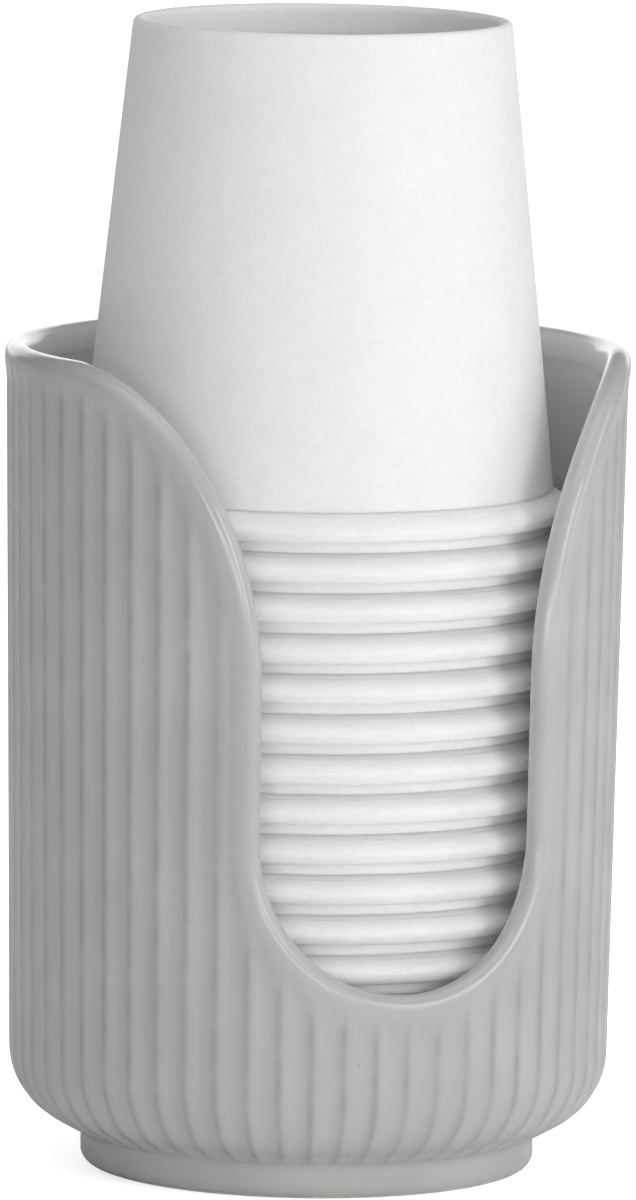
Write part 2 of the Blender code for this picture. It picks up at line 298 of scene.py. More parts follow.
base_radius = CUP_RIM_RADIUS + CUP_CLEARANCE + WALL_THICKNESS
foot_radius = base_radius - FOOT_INSET
shoulder_centre = base_radius - SHOULDER_RADIUS
undercut_width = shoulder_centre + SHOULDER_RADIUS * sin(UNDERCUT_ANGLE) - foot_radius
undercut_top = FOOT_HEIGHT + undercut_width * sin(UNDERCUT_ANGLE) / cos(UNDERCUT_ANGLE)
shoulder_top = undercut_top + SHOULDER_RADIUS * cos(UNDERCUT_ANGLE)
back = pi * base_radius
sill_centre = NOTCH_SILL_HEIGHT + NOTCH_SILL_RISE
flare_centre = NOTCH_HALF_WIDTH + NOTCH_FLARE_WIDTH
flare_rise = HOLDER_HEIGHT - NOTCH_FLARE_START


def outer_radius(height):
    """Radius of the holder's outside, which opens slightly from the shoulder to the top."""
    return base_radius + WALL_FLARE * (height - shoulder_top) / (HOLDER_HEIGHT - shoulder_top)


def edge_outline(inset):
    """Half of the wall's edge laid out flat, from the middle of the sill to the back, set in by inset."""
    points = []
    for step in range(SILL_STEPS):
        angle = QUARTER_TURN * step / SILL_STEPS
        along = (NOTCH_HALF_WIDTH + inset) * sin(angle)
        points.append((along, sill_centre - (NOTCH_SILL_RISE + inset) * cos(angle)))
    for step in range(SIDE_STEPS):
        height = sill_centre + (NOTCH_FLARE_START - sill_centre) * step / SIDE_STEPS
        points.append((NOTCH_HALF_WIDTH + inset, height))
    for step in range(FLARE_STEPS):
        angle = QUARTER_TURN * step / FLARE_STEPS
        along = flare_centre - (NOTCH_FLARE_WIDTH - inset) * cos(angle)
        points.append((along, NOTCH_FLARE_START + (flare_rise - inset) * sin(angle)))
    for step in range(RIM_STEPS + 1):
        points.append((flare_centre + (back - flare_centre) * step / RIM_STEPS, HOLDER_HEIGHT - inset))
    return points


print("wall laid out flat:", round(back * 1000, 1), "mm from the notch to the back")

# %% [markdown]
# ## Flutes that fade into the border
#
# A flute is a shallow trough, and two troughs meet in a ridge that the glaze has rounded. Near the edge the
# troughs run out into a smooth border, each with a rounded end, and they do so again above the foot. One
# function gives the depth of the surface at every place, so all the parts of the mesh agree. The border
# stands a hair proud of the ridges, which is what draws the pale line beside the notch.

# %% Depth of the fluting
FLUTE_COUNT = 59
FLUTE_DEPTH = 0.00029
RIDGE_SHARE = 0.26
BREAK_AND_SHADE_REACH_SHARE = 0.42
RUN_OUT_SOFTNESS_SHARE = 0.10
RUN_OUT_START = 0.0053
RUN_OUT_END = 0.0025
FOOT_RUN_OUT_START = 0.0038
FOOT_RUN_OUT_END = 0.0013
BORDER_DROP = 0.00016
BORDER_START = 0.0019
BORDER_END = 0.0041

flute_pitch = 2 * back / FLUTE_COUNT
edge_points = np.array(edge_outline(0))


def smooth_step(value):
    """0 below 0, 1 above 1 and a soft climb between."""
    value = np.clip(value, 0, 1)
    return value * value * (3 - 2 * value)


def edge_distance(along, height):
    """Distance on the flat sheet from places to the wall's edge."""
    place = np.stack([along, height], -1)[:, None, :]
    start = edge_points[:-1][None]
    run = edge_points[1:][None] - start
    share = np.clip(((place - start) * run).sum(-1) / (run * run).sum(-1), 0, 1)
    return np.sqrt((((place - start) - share[..., None] * run) ** 2).sum(-1)).min(1)


def flute_hollow(along):
    """0 on the rounded ridge between two flutes, 1 along the middle of a flute."""
    across = np.abs(2 * np.mod(along / flute_pitch, 1) - 1)
    turn = 1 - RIDGE_SHARE
    past = np.maximum(across - turn, 0)
    crest = 1 - turn ** 2 - 2 * turn * past + turn * past ** 2 / RIDGE_SHARE
    hollow = np.where(across < turn, 1 - across ** 2, crest)
    return (hollow - RIDGE_SHARE) / (1 - RIDGE_SHARE)


def flute_depth(along, run_out):
    """Share of the full depth left where a flute runs out; run_out is 0 in full depth and 1 at its end."""
    value = flute_hollow(along) - run_out ** 2
    soft = RUN_OUT_SOFTNESS_SHARE
    eased = (value + soft) ** 2 / (4 * soft)
    return np.where(value > soft, value, np.where(value < -soft, 0, eased))


def glaze_break_and_painted_light(along, run_out):
    """1 on the crest of a ridge, where glaze runs off and painted shade darkens it, and 0 away from it or
    where the flutes have ended.
    """
    # painted shade: the dark ridge line is partly thin glaze and partly shade that deepens the fluting
    crest = 1 - flute_hollow(along) / BREAK_AND_SHADE_REACH_SHARE
    return np.clip(crest, 0, 1) * np.clip(1 - run_out, 0, 1)


def wall_depth(along, height):
    """How far the outside of the wall lies inside its plain cone, and how dark its ridge is painted there,
    partly thin glaze and partly painted shade.
    """
    distance = edge_distance(along, height)
    run_out = np.clip((RUN_OUT_START - distance) / (RUN_OUT_START - RUN_OUT_END), 0, None)
    pool = flute_depth(along, run_out)
    border = BORDER_DROP * smooth_step((distance - BORDER_START) / (BORDER_END - BORDER_START))
    return border + FLUTE_DEPTH * pool, glaze_break_and_painted_light(along, run_out)


print("flutes:", FLUTE_COUNT, "with a pitch of", round(flute_pitch * 1000, 2), "mm")

# %% [markdown]
# ## Rolling the sheet up
#
# The wall's grid has columns that follow the flutes, closer together near the ridges, and rows that close up
# towards the edge. A few rows follow the edge itself, for a clean border. A constrained Delaunay
# triangulation joins the two kinds of rows without a seam, which no plain grid could do beside the
# notch's upright sides. Only the right half is made. A mirror makes the other.

# %% Columns and rows of the flat sheet
FLUTE_COLUMN_SHARES = (0, 0.05, 0.14, 0.30, 0.50, 0.70, 0.86, 0.95)
BORDER_ROWS = (0.0015, 0.0019, 0.0024, 0.0030, 0.0036)
INNER_BORDER_ROWS = (0.0030, 0.00315, 0.0033, 0.00355, 0.0042)
GRID_START = 0.0041
INNER_GRID_START = 0.0050
FINE_ROW = 0.0006
FINE_ROWS_REACH = 0.0090
COARSE_EVERY = 5
INNER_COLUMNS = 120
INNER_ROW = 0.0012
INNER_EVERY = 2
WELD_DISTANCE = 0.000002

fine_columns = []
for flute in range(FLUTE_COUNT // 2 + 1):
    fine_columns += [(flute + share) * flute_pitch for share in FLUTE_COLUMN_SHARES]
fine_columns = [along for along in fine_columns if along < back - WELD_DISTANCE] + [back]
inner_columns = [back * column / INNER_COLUMNS for column in range(INNER_COLUMNS + 1)]


def roll_up(radius, along, height):
    """Point on the holder from its place on the flat sheet."""
    angle = along / base_radius
    side = 0.0 if along in (0, back) else radius * sin(angle)
    return (side, -radius * cos(angle), height)


def under_edge(along, height):
    """Whether places on the sheet lie on the wall and not in the notch or above the rim."""
    width = NOTCH_HALF_WIDTH
    sill = sill_centre - NOTCH_SILL_RISE * np.sqrt(np.clip(1 - (along / width) ** 2, 0, 1))
    across = np.clip((flare_centre - along) / NOTCH_FLARE_WIDTH, 0, 1)
    flare = NOTCH_FLARE_START + flare_rise * np.sqrt(1 - across ** 2)
    return height < np.where(along < width, sill, flare)


def grid_places(columns, bottom, start, fine_row, reach, coarse_every):
    """Places on the sheet in columns and rows, no nearer to the edge than start."""
    rows = int(ceil((HOLDER_HEIGHT - bottom) / fine_row))
    along = np.repeat(columns, rows)
    level = np.tile(np.arange(rows), len(columns))
    height = bottom + level * fine_row
    distance = edge_distance(along, height)
    keep = under_edge(along, height) & (distance > start)
    keep &= (distance < reach) | (level % coarse_every == 0)
    return along[keep], height[keep]


print("outside columns in half of the wall:", len(fine_columns))

# %% [markdown]
# ## From flat sheet to skin
#
# A skin is one face of the wall. Its places are triangulated on the flat sheet, where that is a plain 2D
# task, and only then rolled up, each point at its own depth. Every column is kept as an edge, so that no
# triangle cuts across the crest of a ridge.

# %% Wall skins
def add_skin(bm, break_and_light_layer, bottom, border_rows, grid, measure, inside):
    """Triangulated half of the wall's inside or outside, between its bottom row and the lip."""
    along, height = grid
    borders = [edge_outline(inset) for inset in border_rows]
    for row in reversed(borders):
        along = np.append(along, [point[0] for point in row])
        height = np.append(height, [point[1] for point in row])
    count = len(along)
    flat = [Vector((along[index], height[index])) for index in range(count)]
    links = sheet_links(along, height, bottom, len(borders[0]), len(grid[0]))
    result = delaunay_2d_cdt(flat, links, [], 1, WELD_DISTANCE / 4)
    depth, break_and_painted_light = measure(along, height)
    verts = []
    for origins in result[3]:
        source = origins[0]
        level = height[source]
        radius = outer_radius(level) - depth[source]
        vert = bm.verts.new(roll_up(radius, along[source], level))
        # dark ridge lines outside, partly painted shade, and painted light inside
        vert[break_and_light_layer] = break_and_painted_light[source]
        verts.append(vert)
    for triangle in result[2]:
        corners = [verts[index] for index in triangle]
        bm.faces.new(reversed(corners) if inside else corners)


def sheet_links(along, height, bottom, lip_count, grid_count):
    """Edges that the triangulation keeps: the sheet's outline, and every column of the grid."""
    count = len(along)
    tiny = WELD_DISTANCE / 2
    low = [index for index in np.argsort(along) if abs(height[index] - bottom) < tiny]
    rear = [index for index in np.argsort(height) if abs(along[index] - back) < tiny]
    front = [index for index in np.argsort(height) if abs(along[index]) < tiny]
    lip = list(range(count - lip_count, count))
    links = [(int(a), int(b)) for chain in (low, rear, front, lip) for a, b in zip(chain, chain[1:])]
    order = np.lexsort((height[:grid_count], along[:grid_count]))
    for a, b in zip(order, order[1:]):
        if abs(along[a] - along[b]) < tiny and along[a] > tiny and along[a] < back - tiny:
            links.append((int(a), int(b)))
    return links


print("rows along the edge: outside", len(BORDER_ROWS), "and inside", len(INNER_BORDER_ROWS))

# %% [markdown]
# ## The lip
#
# The lip is swept along the edge: tight on the outside and a broad bevel on the inside, which ends in the
# thin roll where the glaze has gathered. A potter gets this shape with a wet sponge drawn along the cut
# edge. The same value that marks the dark ridges on the outside, partly thin glaze and partly painted shade,
# marks below zero the painted light inside: a paler colour for the shaded inner wall and bevel.

# %% Lip
LIP_STEPS = 18
INNER_LIP_POWER = 0.78
OUTER_LIP_POWER = 0.90
INNER_LIP_REACH = 0.0030
GLAZE_ROLL = 0.00006
GLAZE_ROLL_REACH = 0.00045

lip_radius = WALL_THICKNESS / 2


def painted_light_mark(share):
    """Mark for the painted light inside, a paler colour that brightens the shaded inner wall: -1 there and 0
    at the top of the lip.
    """
    return -smooth_step(share)


def glaze_roll(distance):
    """Height of the thin roll that the glaze forms where the lip's bevel meets the inside of the wall."""
    share = (distance - INNER_LIP_REACH) / GLAZE_ROLL_REACH
    return GLAZE_ROLL * np.clip(1 - share ** 2, 0, 1) ** 2


def inner_depth(along, height):
    """The inside of the wall is plain but for the roll of glaze under the lip, and all of it gets the painted
    light.
    """
    return WALL_THICKNESS + glaze_roll(edge_distance(along, height)), np.full(len(along), painted_light_mark(1))


def add_band(bm, before, after):
    """Strip of faces between two rows of points."""
    for index in range(len(before) - 1):
        bm.faces.new((after[index], after[index + 1], before[index + 1], before[index]))


def add_lip(bm, break_and_light_layer):
    """Round lip along the edge, from the inside of the wall to the outside."""
    rows = []
    for step in range(LIP_STEPS + 1):
        angle = pi - pi * step / LIP_STEPS
        inward = angle > QUARTER_TURN
        power = INNER_LIP_POWER if inward else OUTER_LIP_POWER
        across = abs(cos(angle)) ** power * (-1 if inward else 1)
        inset = (INNER_LIP_REACH if inward else lip_radius) * (1 - abs(sin(angle)) ** power)
        depth = lip_radius * (1 - across) + (glaze_roll(inset) if inward else 0)
        row = []
        for along, height in edge_outline(inset):
            vert = bm.verts.new(roll_up(outer_radius(height) - depth, along, height))
            # painted light: the paler inside colour fades in across the inner bevel of the lip
            vert[break_and_light_layer] = painted_light_mark(-across)
            row.append(vert)
        rows.append(row)
    for before, after in zip(rows, rows[1:]):
        add_band(bm, before, after)


print("lip:", LIP_STEPS + 1, "rows of", len(edge_outline(0)), "points along the edge")

# %% [markdown]
# ## Shoulder, foot and inside
#
# Below the wall the casting is turned: the round shoulder, the undercut, the foot ring and the hollow under
# it, and a bowl inside. A profile of points, spun round the axis, is all that these parts need.

# %% Shoulder and foot sizes
SHOULDER_STEPS = 18
UNDERCUT_STEPS = 7
FILLET_RADIUS = 0.0012
FILLET_STEPS = 5
FOOT_EDGE_RADIUS = 0.0016
FOOT_EDGE_STEPS = 7
FOOT_RING_WIDTH = 0.0050
FOOT_RECESS_DEPTH = 0.0024
FOOT_RECESS_SLOPE = 0.0015
FOOT_CREASE_RADIUS = 0.0006
FLOOR_THICKNESS = 0.0044
CORNER_REACH = 0.0120
CORNER_RISE = 0.0110
CORNER_STEPS = 14
CENTRE_RINGS = 4

floor_height = FOOT_RECESS_DEPTH + FLOOR_THICKNESS
corner_top = floor_height + CORNER_RISE
corner_radius = outer_radius(corner_top) - WALL_THICKNESS
print("inside floor:", round(floor_height * 1000, 1), "mm above the counter")

# %% [markdown]
# ## Rows round the shoulder
#
# The flutes go on round the shoulder and end above the foot, where a small fillet of glaze has gathered.
# Each point of the profile carries its slope, and a flute is pushed in along it, so that it keeps its depth.

# %% Shoulder rows
def under_profile():
    """Radius, height and outward slope from the shoulder down to the start of the foot's side."""
    points = []
    for step in range(SHOULDER_STEPS + 1):
        angle = QUARTER_TURN - (QUARTER_TURN - UNDERCUT_ANGLE) * step / SHOULDER_STEPS
        radius = shoulder_centre + SHOULDER_RADIUS * sin(angle)
        points.append((radius, shoulder_top - SHOULDER_RADIUS * cos(angle), angle))
    run = FILLET_RADIUS * (1 - sin(UNDERCUT_ANGLE)) / cos(UNDERCUT_ANGLE)
    fillet_radius = foot_radius + run * cos(UNDERCUT_ANGLE)
    fillet_height = FOOT_HEIGHT + run * sin(UNDERCUT_ANGLE)
    last_radius, last_height, angle = points[-1]
    for step in range(1, UNDERCUT_STEPS + 1):
        share = step / UNDERCUT_STEPS
        radius = last_radius + (fillet_radius - last_radius) * share
        points.append((radius, last_height + (fillet_height - last_height) * share, UNDERCUT_ANGLE))
    centre_height = fillet_height - FILLET_RADIUS * cos(UNDERCUT_ANGLE)
    for step in range(1, FILLET_STEPS + 1):
        angle = UNDERCUT_ANGLE + (QUARTER_TURN - UNDERCUT_ANGLE) * step / FILLET_STEPS
        radius = foot_radius + FILLET_RADIUS * (1 - sin(angle))
        points.append((radius, centre_height + FILLET_RADIUS * cos(angle), angle))
    return points


def add_shoulder(bm, break_and_light_layer):
    """Fluted shoulder and undercut; the flutes end in rounded tips above the foot."""
    profile = under_profile()
    reach = 0
    reaches = [0]
    for here, above in zip(profile[::-1], profile[-2::-1]):
        reach += sqrt((here[0] - above[0]) ** 2 + (here[1] - above[1]) ** 2)
        reaches.append(reach)
    before = None
    columns = np.array(fine_columns)
    for (radius, height, angle), reach in zip(profile, reversed(reaches)):
        left = (FOOT_RUN_OUT_START - reach) / (FOOT_RUN_OUT_START - FOOT_RUN_OUT_END)
        run_out = np.full(len(columns), max(left, 0))
        pool = flute_depth(columns, run_out)
        # dark ridge line: partly thin glaze, partly painted shade that deepens the flutes
        break_and_painted_light = glaze_break_and_painted_light(columns, run_out)
        drop = BORDER_DROP * smooth_step((reach - FOOT_RUN_OUT_END) / FOOT_RUN_OUT_START)
        row = []
        for along, share, thin in zip(fine_columns, pool, break_and_painted_light):
            depth = drop + FLUTE_DEPTH * share
            place = roll_up(radius - depth * sin(angle), along, height + depth * cos(angle))
            vert = bm.verts.new(place)
            vert[break_and_light_layer] = thin
            row.append(vert)
        if before:
            add_band(bm, before, row)
        before = row
    return before


print("rows of the shoulder and undercut:", len(under_profile()))

# %% [markdown]
# ## Rows of the foot and the inside
#
# These are plain, so one function turns both and closes the last row at the axis. The foot's edge is round,
# because a sharp one would chip, and a round one catches a line of light.

# %% Foot and inside rows
def foot_profile():
    """Radius and height down the foot's side, round its edge, across the ring and into the recess."""
    points = []
    for step in range(FOOT_EDGE_STEPS + 1):
        angle = QUARTER_TURN * step / FOOT_EDGE_STEPS
        radius = foot_radius - FOOT_EDGE_RADIUS * (1 - cos(angle))
        points.append((radius, FOOT_EDGE_RADIUS * (1 - sin(angle))))
    ring_inner = foot_radius - FOOT_RING_WIDTH
    crease = FOOT_CREASE_RADIUS
    points += [(ring_inner + crease, 0), (ring_inner + crease / 4, crease / 4), (ring_inner, crease)]
    recess_radius = ring_inner - FOOT_RECESS_SLOPE
    points += [(recess_radius + crease, FOOT_RECESS_DEPTH - crease), (recess_radius, FOOT_RECESS_DEPTH)]
    for ring in range(1, CENTRE_RINGS):
        points.append((recess_radius * (1 - ring / CENTRE_RINGS), FOOT_RECESS_DEPTH))
    return points


def inner_profile():
    """Radius and height from the top of the inside corner down to the middle of the floor."""
    points = []
    for step in range(CORNER_STEPS + 1):
        angle = QUARTER_TURN * step / CORNER_STEPS
        radius = corner_radius - CORNER_REACH * (1 - cos(angle))
        points.append((radius, corner_top - CORNER_RISE * sin(angle)))
    floor_radius = points[-1][0]
    for ring in range(1, CENTRE_RINGS):
        points.append((floor_radius * (1 - ring / CENTRE_RINGS), floor_height))
    return points


def add_rings(bm, columns, profile, before):
    """Rows of points down a plain profile, closed at the axis."""
    for radius, height in profile:
        row = [bm.verts.new(roll_up(radius, along, height)) for along in columns]
        if before:
            add_band(bm, before, row)
        before = row
    centre = bm.verts.new((0, 0, profile[-1][1]))
    for start, end in zip(before, before[1:]):
        bm.faces.new((start, centre, end))


print("rows of the foot:", len(foot_profile()), "and of the inside:", len(inner_profile()))

# %% [markdown]
# ## Assembling the casting
#
# The rows that meet are welded, and a mirror modifier adds the other half. It also joins the two along the
# middle of the notch and of the back, which a copied and flipped mesh would leave open.

# %% Build the holder
def build_half():
    """Right half of the casting."""
    bm = bmesh.new()
    break_and_light_layer = bm.verts.layers.float.new("glaze_break_and_painted_light")
    outer_grid = grid_places(fine_columns, shoulder_top, GRID_START, FINE_ROW, FINE_ROWS_REACH, COARSE_EVERY)
    add_skin(bm, break_and_light_layer, shoulder_top, BORDER_ROWS, outer_grid, wall_depth, False)
    inner_grid = grid_places(inner_columns, corner_top, INNER_GRID_START, INNER_ROW, 0, INNER_EVERY)
    add_skin(bm, break_and_light_layer, corner_top, INNER_BORDER_ROWS, inner_grid, inner_depth, True)
    add_lip(bm, break_and_light_layer)
    last = add_shoulder(bm, break_and_light_layer)
    add_rings(bm, fine_columns, foot_profile(), last)
    shell_count = len(bm.verts)
    add_rings(bm, inner_columns, inner_profile(), None)
    # the bowl inside gets the full painted light, a paler colour for its shade
    for vert in list(bm.verts)[shell_count:]:
        vert[break_and_light_layer] = painted_light_mark(1)
    bmesh.ops.remove_doubles(bm, verts=bm.verts, dist=WELD_DISTANCE)
    return bm


def mirror_half(bm):
    """Whole casting from its right half."""
    half = bpy.data.meshes.new("half_casting")
    bm.to_mesh(half)
    bm.free()
    holder = bpy.data.objects.new("half_casting", half)
    bpy.context.scene.collection.objects.link(holder)
    mirror = holder.modifiers.new("both_halves", "MIRROR")
    mirror.merge_threshold = WELD_DISTANCE
    bpy.context.view_layer.update()
    graph = bpy.context.evaluated_depsgraph_get()
    whole = bpy.data.meshes.new_from_object(holder.evaluated_get(graph), depsgraph=graph)
    bpy.data.objects.remove(holder)
    bpy.data.meshes.remove(half)
    bm = bmesh.new()
    bm.from_mesh(whole)
    bmesh.ops.recalc_face_normals(bm, faces=bm.faces)
    bm.to_mesh(whole)
    bm.free()
    return whole


holder_mesh = mirror_half(build_half())
print("holder mesh:", len(holder_mesh.vertices), "points,", len(holder_mesh.polygons), "faces")

# %% [markdown]
# ## Never quite round
#
# A wall that was cast and fired is never quite round, and its reflections show that. So the casting is
# pushed in by up to a tenth of a millimetre in slow waves, never out, which keeps it within its size.

# %% Nudge the wall
WOBBLE = 0.00010
# each wave: turns round the casting, climb in radians per metre, and phase
WOBBLE_WAVES = ((2, 38, 0.4), (3, 61, 1.9), (5, 47, 3.3))
WOBBLE_FREE_HEIGHT = 0.012


def nudge(mesh):
    """Push the casting in by up to WOBBLE in slow waves; the foot stays true."""
    count = len(mesh.vertices)
    place = np.zeros(count * 3)
    mesh.vertices.foreach_get("co", place)
    place = place.reshape(-1, 3)
    angle = np.arctan2(place[:, 0], -place[:, 1])
    wave = np.zeros(count)
    for turns, climb, phase in WOBBLE_WAVES:
        wave += np.sin(turns * angle + climb * place[:, 2] + phase) / len(WOBBLE_WAVES)
    free = smooth_step(place[:, 2] / WOBBLE_FREE_HEIGHT)
    push = WOBBLE * (wave - 1) / 2 * free
    reach = np.hypot(place[:, 0], place[:, 1]).clip(WELD_DISTANCE)
    place[:, 0] += place[:, 0] / reach * push
    place[:, 1] += place[:, 1] / reach * push
    mesh.vertices.foreach_set("co", place.ravel())
    mesh.update()


nudge(holder_mesh)
holder_mesh.name = "fluted_holder"
print("wall pushed in by up to", round(WOBBLE * 1000, 2), "mm")

# %% [markdown]
# ## Grey glaze
#
# The glaze is an opaque light grey with a clear gloss. While it melts it runs off the sharp ridges between
# the flutes, and the darker body shows through where it is thin. The mesh carries a value for how near the
# crest of a ridge each point lies, and the colour follows it: the dark line on each ridge is partly this thin
# glaze and partly painted shade that deepens the flutes. The inside is painted light: a much paler copy of
# the glaze that brightens the shaded inner wall. Slow noise clouds the tone, fine noise dimples the gloss
# like orange peel, and a few pinholes break it. The ring that stood on the kiln shelf is unglazed clay.

# %% Glaze material
GLAZE_PALE = (0.418, 0.418, 0.413, 1)
GLAZE_CLOUD = (0.386, 0.386, 0.381, 1)
# ridge colour: partly thin glaze, partly painted shade
GLAZE_THIN_AND_PAINTED_SHADE = (0.295, 0.295, 0.29, 1)
# painted light: a much paler glaze colour for the shaded inside
INSIDE_PAINTED_LIGHT = (0.73, 0.73, 0.725, 1)
BARE_CLAY = (0.62, 0.60, 0.56, 1)
GLAZE_ROUGHNESS = 0.20
GLAZE_INDEX = 1.50
GLAZE_SHINE = 0.46
GLOSS_SPREAD = (-0.05, 0.06)
# each noise: features per metre, then its detail
GLAZE_CLOUD_NOISE = (75, 3)
PATCH_NOISE = (260, 2)
PATCH_SPAN = (0.2, 0.7)
PATCH_LEAST = 0.45
GLOSS_NOISE = (260, 3)
CLAY_EDGE_NOISE = (700, 3)
PEEL_NOISE = (420, 2)
PEEL_DEPTH = 0.000010
PINHOLE_SCALE = 170.0
PINHOLE_RADII = (0.012, 0.035)
PINHOLE_DEPTH = 0.00005
CLAY_HEIGHT = (0.00025, 0.0006)
CLAY_EDGE_WANDER = 0.0003
CLAY_ROUGHNESS = 0.85

glaze, tree, shader = start_material(
    "light_grey_glaze", GLAZE_ROUGHNESS, IOR=GLAZE_INDEX, Specular_IOR_Level=GLAZE_SHINE
)
place = add_node(tree, "ShaderNodeTexCoord").outputs["Object"]
break_and_painted_light = add_node(tree, "ShaderNodeAttribute", {"attribute_name": "glaze_break_and_painted_light"}).outputs["Fac"]
cloud = add_range(tree, add_noise(tree, place, *GLAZE_CLOUD_NOISE), *NOISE_SPAN, 0, 1)
patchy = add_range(tree, add_noise(tree, place, *PATCH_NOISE), *PATCH_SPAN, PATCH_LEAST, 1)
colour = add_mix(tree, cloud, GLAZE_PALE, GLAZE_CLOUD)
# painted shade: each ridge crest is darkened, partly as thin glaze and partly as shade that deepens the
# fluting
colour = add_mix(tree, add_math(tree, "MULTIPLY", break_and_painted_light, patchy), colour, GLAZE_THIN_AND_PAINTED_SHADE)
# painted light: the inside and the lip's inner bevel get a much paler glaze colour to brighten their shade
colour = add_mix(tree, add_math(tree, "MULTIPLY", break_and_painted_light, -1.0), colour, INSIDE_PAINTED_LIGHT)
height = add_node(tree, "ShaderNodeSeparateXYZ", Vector=place).outputs["Z"]
wander = add_math(tree, "MULTIPLY", add_noise(tree, place, *CLAY_EDGE_NOISE), CLAY_EDGE_WANDER)
ragged = add_math(tree, "ADD", height, wander)
clay = add_range(tree, ragged, *CLAY_HEIGHT, 1, 0)
tree.links.new(add_mix(tree, clay, colour, BARE_CLAY), shader.inputs["Base Color"])
gloss_range = [GLAZE_ROUGHNESS + change for change in GLOSS_SPREAD]
gloss = add_range(tree, add_noise(tree, place, *GLOSS_NOISE), *NOISE_SPAN, *gloss_range)
rough = add_math(tree, "MAXIMUM", gloss, add_math(tree, "MULTIPLY", clay, CLAY_ROUGHNESS))
tree.links.new(rough, shader.inputs["Roughness"])
peel = add_noise(tree, place, *PEEL_NOISE)
cells = add_node(tree, "ShaderNodeTexVoronoi", Vector=place, Scale=PINHOLE_SCALE).outputs["Distance"]
pinholes = add_range(tree, cells, *PINHOLE_RADII, 0, 1)
add_bump(tree, shader, [(peel, PEEL_DEPTH), (pinholes, PINHOLE_DEPTH)])
print("glaze nodes:", len(tree.nodes))

# %% [markdown]
# ## One piece, one body
#
# A piece rides on the body that carries it when the object moves, takes the place of the plain solid that
# stood there, and says which material slot it fills. The holder is the body that everything else rests on.

# %% Put the holder on its body
def link_piece(name, mesh, material):
    """Object for a mesh, smooth and in one material."""
    mesh.materials.append(material)
    mesh.shade_smooth()
    piece = bpy.data.objects.new(name, mesh)
    bpy.context.scene.collection.objects.link(piece)
    return piece


holder = link_piece("fluted_glazed_holder", holder_mesh, glaze)
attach(holder, "holder")
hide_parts("holder")
print("holder rides on its body")

# %% [markdown]
# ## Paper cups
#
# A paper cup is two strips. The side wall is one sheet rolled into a cone and glued along a seam. At the
# mouth it is curled outward into a bead, and at the base it is folded inward over the skirt of a round
# disc and crimped. Both pieces are drawn here as the line along the middle of the paper, which is then
# thickened and turned, so the curl and the fold are the real ones. The seams face the back.

# %% Cup sizes
ROLL_WIDTH = 0.0019
ROLL_HEIGHT = 0.0028
NEST_WALL_GAP = 0.00017
NEST_SEAT_GAP = 0.0003
PAPER = 0.0003
SKIRT_GAP = 0.00015
SKIRT_CLEARANCE = 0.0004
FOLD_CLEARANCE = 0.0004

cup_taper = (PAPER + NEST_WALL_GAP) / NEST_PITCH
recess_depth = NEST_PITCH - PAPER - NEST_SEAT_GAP
fold_depth = 3 * PAPER + 2 * SKIRT_GAP


def cup_radius(height, layer=0):
    """Radius of a cup's tapered wall at one height, a layer's depth in from its outside."""
    return CUP_RIM_RADIUS - ROLL_WIDTH - cup_taper * (height - ROLL_HEIGHT) - layer


print("taper:", round(cup_taper * 1000, 1), "mm per metre; recess", round(recess_depth * 1000, 2), "mm deep")

# %% [markdown]
# ## The line of the wall's paper
#
# The line goes over the fold, down the taper and round the curl. The curl is given by a few points, and a
# smooth curve that runs through all of them fills in the rest.

# %% The wall's line
# points round the curl, out from the wall and up from the mouth, as shares of the roll's width and height
CURL_SHARES = (
    (-0.08, 1.00), (-0.03, 0.60), (0.12, 0.25), (0.42, 0.10), (0.78, 0.19), (0.921, 0.41), (0.89, 0.57),
    (0.76, 0.71), (0.56, 0.83), (0.35, 0.93), (0.14, 1.03), (-0.04, 1.13), (-0.11, 1.19), (-0.07, 1.08),
    (0.08, 0.88), (0.36, 0.52),
)
CURL_STEPS = 3
WALL_STEPS = 7
FOLD_STEPS = 6


def wall_line():
    """Middle of the side wall's paper: from inside the recess, over the fold, down, and round the curl."""
    fold_bottom = CUP_HEIGHT - recess_depth + FOLD_CLEARANCE
    inner_layer = fold_depth - PAPER / 2
    fold_radius = (fold_depth - PAPER) / 2
    fold_height = CUP_HEIGHT - PAPER / 2 - fold_radius
    line = []
    for step in range(FOLD_STEPS):
        height = fold_bottom + (fold_height - fold_bottom) * step / FOLD_STEPS
        line.append((cup_radius(height, inner_layer), height))
    for step in range(FOLD_STEPS + 1):
        angle = pi * step / FOLD_STEPS
        middle = cup_radius(fold_height, fold_depth / 2)
        line.append((middle - fold_radius * cos(angle), fold_height + fold_radius * sin(angle)))
    for step in range(1, WALL_STEPS):
        height = fold_height + (ROLL_HEIGHT - fold_height) * step / WALL_STEPS
        line.append((cup_radius(height, PAPER / 2), height))
    return np.array(line + curl_line())


def curl_line():
    """Middle of the paper round the rolled rim, a smooth curve with its free end tucked into the roll."""
    points = [Vector((across, level)) for across, level in CURL_SHARES]
    ends = [points[0] * 2 - points[1]] + points + [points[-1] * 2 - points[-2]]
    line = []
    for before, start, end, after in zip(ends, ends[1:], ends[2:], ends[3:]):
        for step in range(CURL_STEPS):
            share = step / CURL_STEPS
            bend = (before * 2 - start * 5 + end * 4 - after) * share ** 2
            twist = (start * 3 - before - end * 3 + after) * share ** 3
            line.append(start + ((end - before) * share + bend + twist) / 2)
    line.append(points[-1])
    foot = CUP_RIM_RADIUS - ROLL_WIDTH
    return [(foot + across * ROLL_WIDTH, level * ROLL_HEIGHT) for across, level in line]


print("points along the wall's paper:", len(wall_line()))

# %% [markdown]
# ## The line of the base's paper
#
# The base is a disc that turns up into a skirt, gripped in the wall's fold. Both lines then get the paper's
# thickness, half of it on either side.

# %% The base's line
DISC_STEPS = 6
BASE_CORNER = 0.0005


